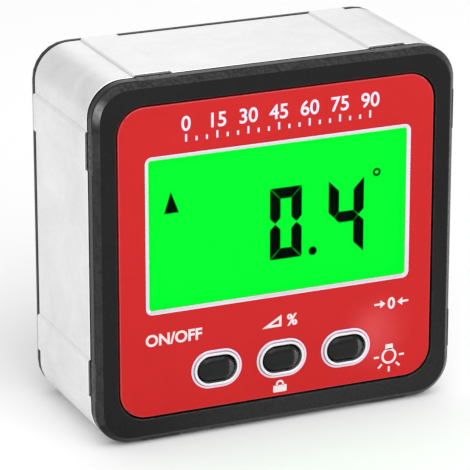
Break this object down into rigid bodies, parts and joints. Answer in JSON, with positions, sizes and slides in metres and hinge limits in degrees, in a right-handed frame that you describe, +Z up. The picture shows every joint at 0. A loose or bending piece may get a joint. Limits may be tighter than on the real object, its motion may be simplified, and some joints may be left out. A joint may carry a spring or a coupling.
{
  "type": "digital angle gauge",
  "caption": "Square pocket inclinometer: landed aluminium ring, moulded front with lit display and push buttons, rear battery cover and magnets in the base.",
  "frame": {"origin": "under the middle of the gauge, on the plane of the base lands that it stands on", "axes": "+X along the width, to the right as the display is read; +Y from the front to the back; +Z up"},
  "size_m": [0.0558, 0.0254, 0.0534],
  "materials": {
    "aluminium": "sand-blasted and clear anodised",
    "plated_steel": "nickel plated",
    "black_moulding": "fine spark-eroded texture",
    "red_plate": "satin metallic red with bright edges",
    "black_button": "semi-gloss",
    "black_component": "moulded epoxy",
    "clear_window": "polished acrylic",
    "green_display": "lit green behind glass",
    "light_guide": "white",
    "connector_rubber": "matt",
    "circuit_board": "solder resist",
    "cell_case": "printed wrap"
  },
  "bodies": {
    "case": {"frame_extrusion": "aluminium", "magnet_left": "plated_steel", "magnet_right": "plated_steel", "front_bezel": "black_moulding", "face_plate": "red_plate", "switch_power": "black_component", "switch_hold": "black_component", "switch_zero": "black_component", "display_pane": "clear_window", "lcd_panel": "green_display", "backlight": "light_guide", "contact_strip": "connector_rubber", "main_board": "circuit_board", "controller_chip": "black_component", "tilt_sensor": "black_component", "cell_upper": "cell_case", "cell_lower": "cell_case", "contact_positive": "plated_steel", "contact_negative": "plated_steel", "contact_bridge": "plated_steel", "spring_upper": "plated_steel", "spring_lower": "plated_steel", "rear_cover": "black_moulding", "case_screw_1": "plated_steel", "case_screw_2": "plated_steel", "case_screw_3": "plated_steel", "case_screw_4": "plated_steel", "board_screw_1": "plated_steel", "board_screw_2": "plated_steel", "board_screw_3": "plated_steel"},
    "power_key": {"button_power": "black_button", "plunger_power": "black_button"},
    "hold_key": {"button_hold": "black_button", "plunger_hold": "black_button"},
    "zero_key": {"button_zero": "black_button", "plunger_zero": "black_button"},
    "door": {"battery_door": "black_moulding"}
  },
  "joints": [
    {"name": "power_press", "type": "slide", "parent": "case", "child": "power_key", "axis": [0, 1, 0], "range_m": [0, 0.00035], "stiffness_N_per_m": 400},
    {"name": "hold_press", "type": "slide", "parent": "case", "child": "hold_key", "axis": [0, 1, 0], "range_m": [0, 0.00035], "stiffness_N_per_m": 400},
    {"name": "zero_press", "type": "slide", "parent": "case", "child": "zero_key", "axis": [0, 1, 0], "range_m": [0, 0.00035], "stiffness_N_per_m": 400},
    {"name": "door_swing", "type": "hinge", "parent": "case", "child": "door", "pos_m": [0, 0.0127, 0.01481], "axis": [-1, 0, 0], "range_deg": [0, 80]}
  ]
}
